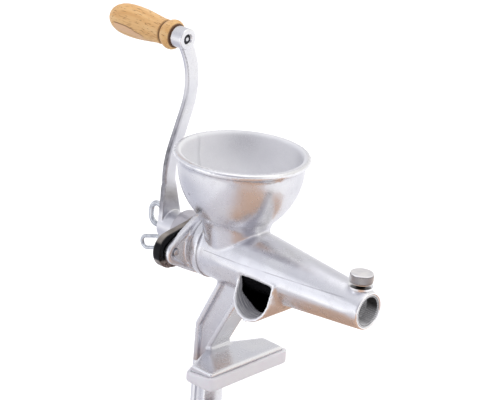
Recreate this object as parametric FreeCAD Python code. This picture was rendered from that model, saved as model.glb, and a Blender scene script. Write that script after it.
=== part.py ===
import FreeCAD, Part
import math
import os

V = FreeCAD.Vector

# Hand-cranked screw press for juice, clamped to a table edge.
# Millimetres and degrees. X runs along the barrel to the nozzle, Y away from the spout's mouth, Z up.
# The origin lies on the table top, straight under the middle of the hopper.

# Barrel and nozzle
axis_height = 96.1
barrel_radius = 24.5
barrel_wall = 3.5
taper_start = 28.0
nozzle_end = 134.3
nozzle_radius = 14.4
nozzle_wall = 2.2
band_length = 6.5
band_height = 1.5
band_gap = 5.0

# Hopper
hopper_wall = 2.4
neck_radius = 21.0
neck_draft = 12.4
neck_fillet = 14.0
bowl_curve = 56.9
bowl_height = 73.3
rim_radius = 52.0
rim_overhang = 3.7
rim_height = 81.9
rim_thickness = 5.0
rim_rounding = 2.4

# Spout under the barrel
spout_middle = 44.0
spout_width = 36.0
spout_drop = 32.5
spout_wall = 2.6
spout_back = 18.0
mouth_top = 2.0
mouth_reach_top = 23.0
mouth_reach_bottom = 32.0

# Rear flange and its cover
flange_rear = -33.5
flange_thickness = 5.5
flange_radius = 26.6
flange_rim = 4.2
flange_recess = 1.6
ear_radius = 9.6
ear_reach = 33.6
ear_tilt = 2.8
cover_thickness = 8.5
cover_radius = 18.5
cover_ear_radius = 14.0
cover_rounding = 2.6
cover_boss_radius = 17.5
cover_boss_length = 13.0
cover_boss_rounding = 1.3

# Leg, jaw and clamp frame
frame_thickness = 22.0
frame_rim = 4.2
frame_recess = 4.0
spine_rear = -25.6
spine_depth = 15.6
knee_height = 31.1
knee_rounding = 6.0
leg_rear_lean = 25.7
leg_front_lean = 27.6
leg_front_foot = 11.8
clamp_reach = 35.6
clamp_drop = 62.0
lower_arm_depth = 20.0
clamp_boss_radius = 11.0
throat_rounding = 9.0
jaw_depth = 34.6
jaw_overlap = 1.4
jaw_half_width = 40.6
jaw_end_depth = 21.7
jaw_thickness = 10.6
jaw_chamfer = 1.0
jaw_rounding = 2.5
foot_fillet = 3.0
lower_arm_taper = 3.3

# Plastic cap on the jaw
cap_floor = 3.2
cap_wall = 3.6
cap_rounding = 6.0
cap_foot_rounding = 2.0
cap_rim_low = 6.8
cap_rim_high = 11.4

# Auger
shaft_radius = 8.0
shaft_square = 10.0
collar_thickness = 3.0
auger_front = 112.0
core_radius_rear = 8.5
core_radius_front = 9.0
worm_turns = 4.5
worm_thickness = 4.0
worm_bevel = 1.0
worm_root = 1.0
worm_clearance = 0.6

# Bush, seal and thrust washer at the rear
bush_wall = 2.6
seal_wall = 3.0
seal_length = 3.0
thrust_washer_radius = 16.0
thrust_washer_thickness = 1.0

# Strainer and nozzle liner
strainer_thickness = 0.9
strainer_margin = 2.0
strainer_hole = 2.6
strainer_hole_step = 5.2
strainer_hole_arc = 110.0
liner_wall = 1.1
liner_length = 18.0
liner_setback = 0.8
liner_ridges = 48
liner_ridge_depth = 0.6

# Crank
crank_throw = 152.7
hub_radius = 12.4
hub_length = 18.2
arm_width = 12.4
arm_thickness = 4.8
arm_rounding = 1.8
arm_flare = 23.6
arm_root_inset = 0.8
socket_floor = 2.4
arm_lean = -5.9
arm_bend_turn = 26.2
arm_bend_radius = 64.0
arm_crook_turn = -60.4
arm_crook_radius = 60.0
boss_radius = 8.3
boss_length = 11.8
boss_forward = 4.8
boss_recess = 1.2
boss_recess_lip = 1.0

# Wooden grip on its pin
grip_pin_radius = 3.2
grip_pin_length = 65.0
grip_length = 71.8
grip_shoulder_radius = 8.8
grip_bead_radius = 11.6
grip_bead_crest = 4.4
grip_bead_length = 10.5
grip_groove_radius = 9.4
grip_groove_length = 1.8
grip_neck_radius = 9.8
grip_belly_radius = 12.6
grip_belly_place = 49.0
grip_swell_share = 0.36
grip_butt_share = 0.78

# Eye screws
eye_collar_radius = 4.6
eye_collar_length = 2.4
eye_sink = 0.9
crank_screw_radius = 2.6
crank_screw_depth = 12.0
crank_eye_wire = 4.4
crank_eye_width = 22.0
crank_eye_rise = 4.4
crank_eye_length = 17.7
cover_screw_radius = 2.6
cover_screw_tip = 1.2
cover_eye_wire = 3.0
cover_eye_width = 12.2
cover_eye_length = 24.2
cover_eye_rise = 3.4
cover_eye_droop = 18.0
washer_radius = 7.5
washer_thickness = 1.2

# Pressure screw on the nozzle
pressure_place = 124.0
pressure_boss_radius = 8.4
pressure_boss_height = 15.6
pressure_stem_radius = 3.0
pressure_neck_radius = 3.8
pressure_neck_length = 2.2
pressure_head_radius = 9.1
pressure_head_length = 7.8
pressure_head_chamfer = 0.9
pressure_washer_radius = 9.0
pressure_washer_thickness = 1.6

# Clamp screw, its swivel pad and its bar
clamp_grip = 34.0
clamp_screw_radius = 6.0
clamp_screw_length = 71.0
clamp_head_radius = 9.0
clamp_head_length = 17.0
clamp_head_rounding = 2.2
pad_radius = 14.0
pad_thickness = 7.0
pad_cap_thickness = 2.6
pad_cap_skirt = 4.0
pad_cap_wall = 2.2
pad_cap_rounding = 1.3
rivet_radius = 3.0
rivet_head_radius = 5.6
rivet_head_length = 2.6
rivet_depth = 9.0
bar_radius = 3.5
bar_length = 82.0
knob_radius = 6.0
knob_length = 11.0
knob_rounding = 2.0
knob_overhang = 2.8

# Clearances: turning and fixed fits, free gaps, and how far a cutting shape runs past what it cuts
running_fit = 0.05
seat_fit = 0.03
running_gap = 0.3
over = 5.0

# Places that follow from the sizes above
bowl_radius = rim_radius - rim_overhang
flange_front = flange_rear + flange_thickness
cover_rear = flange_rear - cover_thickness
bush_rear = cover_rear - cover_boss_length
hub_front = bush_rear - running_gap
hub_rear = hub_front - hub_length
arm_front = hub_rear + arm_thickness
boss_front = arm_front + boss_forward
boss_rear = boss_front - boss_length
boss_height = axis_height + crank_throw
grip_front = boss_rear - running_gap
bore_radius = barrel_radius - barrel_wall
liner_radius = nozzle_radius - nozzle_wall
liner_front = nozzle_end - liner_setback
liner_rear = liner_front - liner_length
jaw_bottom = cap_floor
jaw_top = jaw_bottom + jaw_thickness
spine_front = spine_rear + spine_depth
clamp_axis = spine_rear + clamp_reach
pressure_seat = axis_height + pressure_boss_height
pad_top = -clamp_grip - pad_cap_thickness
pad_bottom = pad_top - pad_thickness
clamp_head_top = pad_bottom - seat_fit - clamp_screw_length
bar_height = clamp_head_top - clamp_head_length / 2


def rod(radius, start, end, y=0.0, z=axis_height):
    """Round bar along X between two stations."""
    return Part.makeCylinder(radius, end - start, V(start, y, z), V(1, 0, 0))


def square_bar(width, start, end):
    """Square bar on the barrel's axis between two stations."""
    return Part.makeBox(end - start, width, width, V(start, -width / 2, axis_height - width / 2))


def cone_x(start_radius, end_radius, start, end):
    """Cone on the barrel's axis between two stations."""
    return Part.makeCone(start_radius, end_radius, end - start, V(start, 0, axis_height), V(1, 0, 0))


def post(radius, bottom, top, x=0.0, y=0.0):
    """Upright round bar between two heights."""
    return Part.makeCylinder(radius, top - bottom, V(x, y, bottom), V(0, 0, 1))


def ring(outer, inner):
    """Outer solid with the inner one taken out."""
    return outer.cut(inner)


def side(x, z):
    """Point in the upright plane along the barrel."""
    return V(x, 0, z)


def plan(x, y):
    """Point on the table plane."""
    return V(x, y, 0)


def rounded_wire(corners):
    """Closed outline through (point, rounding) corners, with an arc at each rounded one."""
    edges = []
    ends = []
    count = len(corners)
    for index in range(count):
        point, rounding = corners[index]
        to_last = (corners[index - 1][0] - point).normalize()
        to_next = (corners[(index + 1) % count][0] - point).normalize()
        half = to_last.getAngle(to_next) / 2
        cut_back = rounding / math.tan(half)
        middle = (to_last + to_next).normalize() * (rounding / math.sin(half) - rounding)
        ends.append((point + to_last * cut_back, point + middle, point + to_next * cut_back, rounding))
    for index in range(count):
        start, middle, end, rounding = ends[index]
        if rounding > 0:
            edges.append(Part.Arc(start, middle, end).toShape())
        edges.append(Part.LineSegment(end, ends[(index + 1) % count][0]).toShape())
    return Part.Wire(edges)


def prism(corners, depth):
    """Solid from rounded corners, pushed along a vector."""
    return Part.Face(rounded_wire(corners)).extrude(depth)


def inset_corners(corners, distance, normal):
    """Corners of the same outline moved inwards by a distance; outline runs anticlockwise about normal."""
    moved = []
    count = len(corners)
    for index in range(count):
        point, rounding = corners[index]
        along = (point - corners[index - 1][0]).normalize()
        onward = (corners[(index + 1) % count][0] - point).normalize()
        inward = normal.cross(along)
        bend = along.cross(onward).dot(normal)
        shift = inward - along * ((1 - along.dot(onward)) / bend)
        new_rounding = max(rounding - distance * math.copysign(1, bend), 0.0)
        moved.append((point + shift * distance, new_rounding))
    return moved


def lozenge(big, small, start, end):
    """Plate with a round middle and two round ears, between two stations on X."""
    lean = math.acos((big - small) / ear_reach)

    def spot(radius, angle, offset):
        return V(start, offset + radius * math.cos(angle), radius * math.sin(angle))

    half_turn = math.pi
    points = [
        spot(small, -lean, ear_reach), spot(small, 0, ear_reach), spot(small, lean, ear_reach),
        spot(big, lean, 0), spot(big, half_turn / 2, 0), spot(big, half_turn - lean, 0),
        spot(small, half_turn - lean, -ear_reach), spot(small, half_turn, -ear_reach),
        spot(small, half_turn + lean, -ear_reach),
        spot(big, half_turn + lean, 0), spot(big, -half_turn / 2, 0), spot(big, -lean, 0),
    ]
    edges = []
    for first in range(0, len(points), 3):
        edges.append(Part.Arc(*points[first:first + 3]).toShape())
        edges.append(Part.LineSegment(points[first + 2], points[(first + 3) % len(points)]).toShape())
    plate = Part.Face(Part.Wire(edges)).extrude(V(end - start, 0, 0))
    plate.rotate(V(0, 0, 0), V(1, 0, 0), ear_tilt)
    plate.translate(V(0, 0, axis_height))
    return plate


def ear_spots():
    """Middle of each ear, near one first."""
    y = ear_reach * math.cos(math.radians(ear_tilt))
    z = ear_reach * math.sin(math.radians(ear_tilt))
    return [(-y, axis_height - z), (y, axis_height + z)]


# Hopper section
def hopper_solid(inset, foot, top):
    """Solid of revolution inside the hopper's wall, moved in by inset, from foot to top."""
    draft = math.radians(neck_draft)
    along = V(math.sin(draft), 0, math.cos(draft))
    outward = V(math.cos(draft), 0, -math.sin(draft))
    bowl_middle = side(bowl_radius - bowl_curve, axis_height + bowl_height)
    neck_start = side(neck_radius, axis_height)
    gap = neck_start + outward * neck_fillet - bowl_middle
    reach = bowl_curve + neck_fillet
    slope = gap.dot(along)
    travel = -slope - math.sqrt(slope ** 2 - gap.dot(gap) + reach ** 2)
    fillet_middle = neck_start + outward * neck_fillet + along * travel
    to_bowl = (bowl_middle - fillet_middle).normalize()
    fillet_radius = neck_fillet + inset
    fillet_start = fillet_middle - outward * fillet_radius
    fillet_end = fillet_middle + to_bowl * fillet_radius
    fillet_mid = fillet_middle + (to_bowl - outward).normalize() * fillet_radius
    bowl_end = bowl_middle + V(bowl_curve - inset, 0, 0)
    bowl_mid = bowl_middle + (V(1, 0, 0) - to_bowl).normalize() * (bowl_curve - inset)
    drop = (fillet_start.z - foot) / along.z
    neck_foot = fillet_start - along * drop
    edges = [
        Part.LineSegment(side(0, foot), neck_foot).toShape(),
        Part.LineSegment(neck_foot, fillet_start).toShape(),
        Part.Arc(fillet_start, fillet_mid, fillet_end).toShape(),
        Part.Arc(fillet_end, bowl_mid, bowl_end).toShape(),
        Part.LineSegment(bowl_end, side(bowl_end.x, top)).toShape(),
        Part.LineSegment(side(bowl_end.x, top), side(0, top)).toShape(),
        Part.LineSegment(side(0, top), side(0, foot)).toShape(),
    ]
    return Part.Face(Part.Wire(edges)).revolve(V(0, 0, 0), V(0, 0, 1), 360)


def hopper_rim():
    """Thick rounded lip from the inner wall out to the rim's edge."""
    inner = bowl_radius - hopper_wall
    top = axis_height + rim_height
    corners = [
        (side(inner, top - rim_thickness), 0), (side(rim_radius, top - rim_thickness), rim_rounding),
        (side(rim_radius, top), rim_rounding), (side(inner, top), rim_rounding),
    ]
    return Part.Face(rounded_wire(corners)).revolve(V(0, 0, 0), V(0, 0, 1), 360)


# Spout section
def spout_trough(inset, top, front, back):
    """U-shaped bar along Y between two places, moved in by inset, up to a height."""
    half = spout_width / 2 - inset
    round_height = axis_height - spout_drop + spout_width / 2
    left = V(spout_middle - half, front, round_height)
    right = V(spout_middle + half, front, round_height)
    bottom = V(spout_middle, front, round_height - half)
    left_top = V(left.x, front, top)
    right_top = V(right.x, front, top)
    edges = [
        Part.Arc(left, bottom, right).toShape(),
        Part.LineSegment(right, right_top).toShape(),
        Part.LineSegment(right_top, left_top).toShape(),
        Part.LineSegment(left_top, left).toShape(),
    ]
    return Part.Face(Part.Wire(edges)).extrude(V(0, back - front, 0))


def spout_trim():
    """Block in front of the spout's slanted mouth."""
    high = axis_height - mouth_top
    low = axis_height - spout_drop
    lean = (mouth_reach_bottom - mouth_reach_top) / (high - low)
    top_y = -mouth_reach_top + lean * (axis_height - high)
    foot_y = -mouth_reach_bottom - lean * over
    far_y = -mouth_reach_bottom - spout_width
    start_x = spout_middle - spout_width
    corners = [
        (V(start_x, top_y, axis_height), 0), (V(start_x, far_y, axis_height), 0),
        (V(start_x, far_y, low - over), 0), (V(start_x, foot_y, low - over), 0),
    ]
    return prism(corners, V(2 * spout_width, 0, 0))


# Clamp frame
def frame_corners():
    """Side outline of the leg, spine and lower arm, anticlockwise as seen from the mouth's side."""
    top = axis_height - bore_radius + over
    arm_top = -clamp_drop
    arm_bottom = arm_top - lower_arm_depth
    front_top = spine_front + (top - leg_front_foot) * math.tan(math.radians(leg_front_lean))
    rear_top = spine_rear + (top - knee_height) * math.tan(math.radians(leg_rear_lean))
    return [
        (side(spine_rear, arm_bottom), knee_rounding), (side(clamp_axis, arm_bottom), 0),
        (side(clamp_axis, arm_top - lower_arm_taper), 0),
        (side(spine_front, arm_top + lower_arm_taper), throat_rounding),
        (side(spine_front, leg_front_foot), 0), (side(front_top, top), 0),
        (side(rear_top, top), 0), (side(spine_rear, knee_height), knee_rounding),
    ]


def clamp_frame():
    """Web with raised rims on both sides."""
    corners = frame_corners()
    half = frame_thickness / 2
    bar = prism(corners, V(0, frame_thickness, 0))
    bar.translate(V(0, -half, 0))
    panel = prism(inset_corners(corners, frame_rim, V(0, -1, 0)), V(0, frame_recess, 0))
    near = panel.translated(V(0, -half, 0))
    far = panel.translated(V(0, half - frame_recess, 0))
    return bar.cut(near).cut(far)


def jaw_corners(grow, rounding):
    """Plan of the jaw plate, all round larger by grow, anticlockwise from above."""
    front = spine_front + jaw_depth - jaw_overlap
    end_rear = front - jaw_end_depth
    half = frame_thickness / 2
    corners = [
        (plan(front, -jaw_half_width), rounding), (plan(front, jaw_half_width), rounding),
        (plan(end_rear, jaw_half_width), rounding), (plan(front - jaw_depth, half), 0),
        (plan(front - jaw_depth, -half), 0), (plan(end_rear, -jaw_half_width), rounding),
    ]
    return inset_corners(corners, -grow, V(0, 0, 1))


def jaw_plate():
    """Flat upper jaw with a chamfered top edge."""
    plate = prism(jaw_corners(0, jaw_rounding), V(0, 0, jaw_thickness))
    plate.translate(V(0, 0, jaw_bottom))
    rim = [edge for edge in plate.Edges if min(v.Z for v in edge.Vertexes) > jaw_top - running_gap]
    return plate.makeChamfer(jaw_chamfer, rim)


def leg_and_jaw():
    """Frame and jaw plate as one, with a fillet where the leg's front meets the plate."""
    body = clamp_frame().fuse(jaw_plate())
    half = frame_thickness / 2
    foot = []
    for edge in body.Edges:
        on_plate = all(abs(v.Z - jaw_top) < seat_fit for v in edge.Vertexes)
        across = all(abs(abs(v.Y) - half) < seat_fit for v in edge.Vertexes)
        if on_plate and across and edge.Length > half:
            foot.append(edge)
    return body.makeFillet(foot_fillet, foot)


def body_casting():
    """One casting: hopper, barrel, nozzle, spout, flange, leg, upper jaw and clamp frame."""
    rim_foot = axis_height + rim_height - rim_thickness / 2
    hopper = hopper_solid(0, axis_height, rim_foot).fuse(hopper_rim())
    trough = spout_trough(0, axis_height, -mouth_reach_bottom - over, spout_back).cut(spout_trim())
    band_front = flange_front + band_gap + band_length
    flange = lozenge(flange_radius, ear_radius, flange_rear, flange_front)
    sunk_rear = flange_front - flange_recess
    sunk = lozenge(flange_radius - flange_rim, ear_radius - flange_rim, sunk_rear, flange_front)
    outer = hopper.multiFuse([
        rod(barrel_radius, flange_rear, taper_start),
        cone_x(barrel_radius, nozzle_radius, taper_start, nozzle_end),
        rod(barrel_radius + band_height, flange_front + band_gap, band_front),
        trough, flange.cut(sunk), leg_and_jaw(),
        post(pressure_boss_radius, axis_height, pressure_seat, pressure_place),
        post(clamp_boss_radius, -clamp_drop - lower_arm_depth, -clamp_drop, clamp_axis),
    ])
    holes = [
        hopper_solid(hopper_wall, axis_height, axis_height + rim_height + over),
        rod(bore_radius, flange_rear - over, taper_start),
        cone_x(bore_radius, liner_radius, taper_start, liner_rear),
        rod(liner_radius, liner_rear, nozzle_end + over),
        spout_trough(spout_wall, axis_height - mouth_top, -mouth_reach_bottom - 2 * over,
                     spout_back - spout_wall),
        post(pressure_stem_radius + running_fit, axis_height, pressure_seat + over, pressure_place),
        post(pressure_washer_radius + running_gap, pressure_seat, pressure_seat + over, pressure_place),
        post(clamp_screw_radius + running_fit, -clamp_drop - lower_arm_depth - over, -clamp_drop + over,
             clamp_axis),
    ]
    for y, z in ear_spots():
        holes.append(rod(cover_screw_radius + seat_fit, flange_rear - over, flange_front + over, y, z))
    return outer.cut(Part.makeCompound(holes)).removeSplitter()


def jaw_cap():
    """Boot over the jaw plate, its rim higher in front, cut out where the spine passes."""
    shell = prism(jaw_corners(cap_wall, cap_rounding - cap_wall), V(0, 0, cap_rim_high))
    foot = [edge for edge in shell.Edges if max(v.Z for v in edge.Vertexes) < seat_fit]
    shell = shell.makeFillet(cap_foot_rounding, foot)
    inside = prism(jaw_corners(seat_fit, jaw_rounding), V(0, 0, cap_rim_high))
    inside.translate(V(0, 0, cap_floor))
    half = jaw_half_width + cap_wall
    front = spine_front + jaw_depth - jaw_overlap + cap_wall
    above = Part.Face(Part.makePolygon([
        side(spine_front, cap_rim_low), side(front, cap_rim_high), side(front, 2 * cap_rim_high),
        side(spine_front - jaw_depth, 2 * cap_rim_high), side(spine_front - jaw_depth, cap_rim_low),
        side(spine_front, cap_rim_low),
    ])).extrude(V(0, 2 * half, 0))
    above.translate(V(0, -half, 0))
    notch = Part.makeBox(jaw_depth, frame_thickness + 2 * seat_fit, 2 * cap_rim_high)
    notch.translate(V(spine_front + seat_fit - jaw_depth, -frame_thickness / 2 - seat_fit, -over))
    return shell.cut(inside).cut(above).cut(notch)


# Inside the barrel
def bore_at(x):
    """Radius of the bore at a station on X."""
    share = (x - taper_start) / (liner_rear - taper_start)
    return bore_radius + (liner_radius - bore_radius) * max(share, 0.0)


def worm_flight(start, end):
    """Helical flight that narrows with the bore, as a ruled skin through its turned sections."""
    steps_per_turn = 20
    steps = int(worm_turns * steps_per_turn)
    sections = []
    for step in range(steps + 1):
        share = step / steps
        x = start + (end - worm_thickness - start) * share
        turn = 2 * math.pi * worm_turns * share
        outer = min(bore_at(x), bore_at(x + worm_thickness)) - worm_clearance - strainer_thickness
        inner = min(core_radius_rear, core_radius_front) - worm_root
        radial = V(0, math.cos(turn), math.sin(turn))
        middle = V(x, 0, axis_height)
        wide = V(worm_thickness, 0, 0)
        thin = V(worm_bevel, 0, 0)
        corners = [
            middle + radial * inner, middle + radial * outer + thin,
            middle + radial * outer + wide - thin, middle + radial * inner + wide,
        ]
        sections.append(Part.makePolygon(corners + corners[:1]))
    return Part.makeLoft(sections, True, True)


def auger():
    """Press screw: square end, bearing shaft, collar, core and worm."""
    collar_rear = flange_rear + thrust_washer_thickness + 2 * running_gap
    collar_front = collar_rear + collar_thickness
    body = rod(shaft_radius, hub_front, collar_rear).multiFuse([
        square_bar(shaft_square, hub_rear + socket_floor, hub_front),
        rod(bore_radius - worm_clearance, collar_rear, collar_front),
        cone_x(core_radius_rear, core_radius_front, collar_front, auger_front),
        worm_flight(collar_front, auger_front),
    ])
    tapped = rod(crank_screw_radius + seat_fit, hub_rear - over, hub_rear + crank_screw_depth)
    return body.cut(tapped)


def bearing_bush():
    """Plain bush that fills the cover's bore behind the seal."""
    body = rod(shaft_radius + running_fit + bush_wall, bush_rear, flange_rear - seal_length)
    return ring(body, rod(shaft_radius + running_fit, bush_rear - over, flange_rear))


def shaft_seal():
    """Seal ring let into the cover's front face."""
    outer = shaft_radius + running_fit + seal_wall
    body = rod(outer, flange_rear - seal_length, flange_rear)
    return ring(body, rod(shaft_radius + running_fit, flange_rear - over, flange_rear + over))


def thrust_washer():
    """Washer that takes the auger's push against the cover."""
    rear = flange_rear + running_gap
    body = rod(thrust_washer_radius, rear, rear + thrust_washer_thickness)
    return ring(body, rod(shaft_radius + running_fit, rear - over, rear + over))


def rear_cover():
    """Bearing cover: a thick eared plate with a round boss towards the crank."""
    plate = lozenge(cover_radius, cover_ear_radius, cover_rear, flange_rear)
    rim = [edge for edge in plate.Edges if max(v.X for v in edge.Vertexes) < cover_rear + running_gap]
    plate = plate.makeFillet(cover_rounding, rim)
    boss = rod(cover_boss_radius, bush_rear, flange_rear)
    rim = [edge for edge in boss.Edges if max(v.X for v in edge.Vertexes) < bush_rear + running_gap]
    boss = boss.makeFillet(cover_boss_rounding, rim)
    holes = [
        rod(shaft_radius + running_fit + bush_wall + seat_fit, bush_rear - over, flange_rear - seal_length),
        rod(shaft_radius + running_fit + seal_wall + seat_fit, flange_rear - seal_length, flange_rear + over),
    ]
    for y, z in ear_spots():
        holes.append(rod(cover_screw_radius + seat_fit, cover_rear - over, flange_rear + over, y, z))
    return plate.fuse(boss).cut(Part.makeCompound(holes))


def juice_strainer():
    """Perforated cone that lines the bore over the spout."""
    start = max(taper_start, spout_middle - spout_width / 2 - strainer_margin)
    end = spout_middle + spout_width / 2 + strainer_margin
    outer_start = bore_at(start) - seat_fit
    outer_end = bore_at(end) - seat_fit
    outer = cone_x(outer_start, outer_end, start, end)
    inner = cone_x(outer_start - strainer_thickness, outer_end - strainer_thickness, start, end)
    holes = []
    rows = int((spout_width - 4 * spout_wall) / strainer_hole_step)
    for row in range(rows):
        x = spout_middle + (row - (rows - 1) / 2) * strainer_hole_step
        around = int(bore_at(x) * math.radians(strainer_hole_arc) / strainer_hole_step)
        for place in range(around):
            angle = (place - (around - 1) / 2) * strainer_hole_step / bore_at(x)
            away = V(0, math.sin(angle), -math.cos(angle))
            start_point = V(x, 0, axis_height) + away * (bore_at(x) - over / 2)
            holes.append(Part.makeCylinder(strainer_hole / 2, over, start_point, away))
    return ring(outer, inner).cut(Part.makeCompound(holes))


def nozzle_liner():
    """Sleeve in the nozzle, its bore cut with straight ridges."""
    outer = rod(liner_radius - seat_fit, liner_rear, liner_front)
    valley = liner_radius - liner_wall
    points = []
    for tooth in range(2 * liner_ridges):
        angle = math.pi * tooth / liner_ridges
        radius = valley - liner_ridge_depth * (tooth % 2)
        points.append(V(liner_rear - over, radius * math.cos(angle), axis_height + radius * math.sin(angle)))
    bore = Part.Face(Part.makePolygon(points + points[:1])).extrude(V(liner_length + 2 * over, 0, 0))
    return outer.cut(bore)


# Crank and grip
def arm_path(offset):
    """Points of the arm's line at a sideways offset: start, bend, crook and boss, with arc middles."""
    lean = math.radians(arm_lean)
    bend = lean + math.radians(arm_bend_turn)
    crook = bend + math.radians(arm_crook_turn)

    def ahead(angle):
        return V(0, math.sin(angle), math.cos(angle))

    def right(angle):
        return V(0, math.cos(angle), -math.sin(angle))

    bend_step = (right(lean) - right(bend)) * arm_bend_radius
    crook_step = (right(crook) - right(bend)) * arm_crook_radius
    rest = V(0, 0, crank_throw) - bend_step - crook_step
    first = ahead(lean)
    second = ahead(bend)
    area = first.y * second.z - first.z * second.y
    first_length = (rest.y * second.z - rest.z * second.y) / area
    second_length = (first.y * rest.z - first.z * rest.y) / area
    hub = V(arm_front, 0, axis_height)
    bend_start = hub + first * first_length
    bend_end = bend_start + bend_step
    crook_start = bend_end + second * second_length
    crook_end = crook_start + crook_step
    bend_middle = bend_start + right(lean) * arm_bend_radius
    crook_middle = crook_start - right(bend) * arm_crook_radius
    mid_bend = bend_middle - right((lean + bend) / 2) * (arm_bend_radius - offset)
    mid_crook = crook_middle + right((bend + crook) / 2) * (arm_crook_radius + offset)
    return [
        hub + right(lean) * offset, bend_start + right(lean) * offset, mid_bend,
        bend_end + right(bend) * offset, crook_start + right(bend) * offset, mid_crook,
        crook_end + right(crook) * offset,
    ]


def arm_bar():
    """Flat bar along the arm's line, its long edges rounded."""
    left = arm_path(-arm_width / 2)
    right = arm_path(arm_width / 2)
    edges = []
    for points in (left, right):
        edges.append(Part.LineSegment(points[0], points[1]).toShape())
        edges.append(Part.Arc(*points[1:4]).toShape())
        edges.append(Part.LineSegment(points[3], points[4]).toShape())
        edges.append(Part.Arc(*points[4:7]).toShape())
    edges.append(Part.LineSegment(left[0], right[0]).toShape())
    edges.append(Part.LineSegment(left[6], right[6]).toShape())
    bar = Part.Face(Part.Wire(Part.__sortEdges__(edges))).extrude(V(-arm_thickness, 0, 0))
    ends = [left[0], left[6], right[0], right[6]]
    long_edges = []
    for edge in bar.Edges:
        at_ends = [min((vertex.Point - end).Length for end in ends) < arm_thickness + running_gap
                   for vertex in edge.Vertexes]
        if not all(at_ends):
            long_edges.append(edge)
    return bar.makeFillet(arm_rounding, long_edges)


def arm_root():
    """Flare that eases the arm into its hub."""
    reach = hub_radius + arm_flare
    wide = hub_radius - arm_root_inset
    narrow = arm_width / 2
    corners = [
        (V(arm_front, -wide, 0), 0), (V(arm_front, wide, 0), 0),
        (V(arm_front, narrow, reach), 0), (V(arm_front, -narrow, reach), 0),
    ]
    root = prism(corners, V(-arm_thickness, 0, 0))
    root.rotate(V(0, 0, 0), V(1, 0, 0), -arm_lean)
    root.translate(V(0, 0, axis_height))
    return root


def crank_arm():
    """Cast crank: hub with a square socket, bent arm and the grip's boss."""
    hub = rod(hub_radius, hub_rear, hub_front)
    boss = rod(boss_radius, boss_rear, boss_front, 0, boss_height)
    body = hub.multiFuse([boss, arm_bar(), arm_root()])
    recess_radius = grip_pin_radius + boss_recess_lip
    holes = [
        square_bar(shaft_square + 2 * seat_fit, hub_rear + socket_floor - running_gap, hub_front + over),
        rod(crank_screw_radius + seat_fit, hub_rear - over, hub_front),
        rod(grip_pin_radius + seat_fit, boss_rear - over, boss_front + over, 0, boss_height),
        rod(recess_radius, boss_front - boss_recess, boss_front + over, 0, boss_height),
    ]
    return body.cut(Part.makeCompound(holes))


def grip_pin():
    """Pin fixed in the boss, its front end set back in the recess."""
    front = boss_front - boss_recess + seat_fit
    return rod(grip_pin_radius, boss_rear - grip_pin_length, front, 0, boss_height)


def wooden_grip():
    """Turned grip: bead, groove, neck, belly and round butt."""
    bead_end = grip_bead_length
    groove_end = bead_end + grip_groove_length
    butt = grip_length

    def at(along, radius):
        return V(grip_front - along, 0, boss_height + radius)

    edges = [
        Part.LineSegment(at(0, 0), at(0, grip_shoulder_radius)).toShape(),
        Part.Arc(at(0, grip_shoulder_radius), at(grip_bead_crest, grip_bead_radius),
                 at(bead_end, grip_groove_radius)).toShape(),
        Part.LineSegment(at(bead_end, grip_groove_radius), at(groove_end, grip_neck_radius)).toShape(),
    ]
    swell = Part.BSplineCurve()
    swell_place = (2 * groove_end + grip_belly_place) / 3
    butt_place = (grip_belly_place + 2 * butt) / 3
    swell_radius = grip_neck_radius + (grip_belly_radius - grip_neck_radius) * grip_swell_share
    swell.interpolate([
        at(groove_end, grip_neck_radius),
        at(swell_place, swell_radius),
        at(grip_belly_place, grip_belly_radius),
        at(butt_place, grip_belly_radius * grip_butt_share),
        at(butt, 0),
    ], InitialTangent=V(-1, 0, 0), FinalTangent=V(0, 0, -1))
    edges.append(swell.toShape())
    edges.append(Part.LineSegment(at(butt, 0), at(0, 0)).toShape())
    body = Part.Face(Part.Wire(edges)).revolve(V(0, 0, boss_height), V(1, 0, 0), 360)
    bore_end = boss_rear - grip_pin_length - running_gap
    return body.cut(rod(grip_pin_radius + running_fit, bore_end, grip_front + over, 0, boss_height))


# Eye screws
def wire_loop(middle, away, bend, run, wire):
    """Loop of round wire in an upright plane along X: two half turns joined by two straight runs."""
    turn_axis = V(0, -1, 0)
    across = away.cross(turn_axis)
    parts = []
    for sign in (-1, 1):
        turn_middle = middle + away * (sign * run)
        start = turn_middle + across * (sign * bend)
        disc = Part.Face(Part.Wire(Part.makeCircle(wire / 2, start, away)))
        parts.append(disc.revolve(turn_middle, turn_axis, 180))
        parts.append(disc.extrude(away * (-2 * run * sign)))
    return parts[0].multiFuse(parts[1:])


def eye_screw(spot, face, stem_radius, stem_length, loop):
    """Screw along X that bears on a face, with a finger loop behind its collar."""
    y, z = spot
    wire, width, length, rise, droop = loop
    neck = face - eye_collar_length
    slant = math.radians(droop)
    along = V(math.cos(slant), 0, math.sin(slant))
    middle = V(neck, y, z + rise) + along * (eye_sink - length / 2)
    bend = (min(width, length) - wire) / 2
    run = abs(width - length) / 2
    away = V(-along.z, 0, along.x) if width > length else along
    return rod(eye_collar_radius, neck, face, y, z).multiFuse([
        rod(stem_radius, neck, face + stem_length, y, z),
        wire_loop(middle, away, bend, run, wire),
    ])


def screw_washer(spot, face, stem_radius):
    """Flat washer under an eye screw's collar."""
    y, z = spot
    body = rod(washer_radius, face - washer_thickness, face, y, z)
    return ring(body, rod(stem_radius + seat_fit, face - over, face + over, y, z))


def crank_eye_screw():
    """Screw that holds the crank on the shaft, its loop upright."""
    face = hub_rear - washer_thickness
    reach = washer_thickness + crank_screw_depth - running_gap
    loop = (crank_eye_wire, crank_eye_width, crank_eye_length, crank_eye_rise, 0.0)
    return eye_screw((0, axis_height), face, crank_screw_radius, reach, loop)


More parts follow.
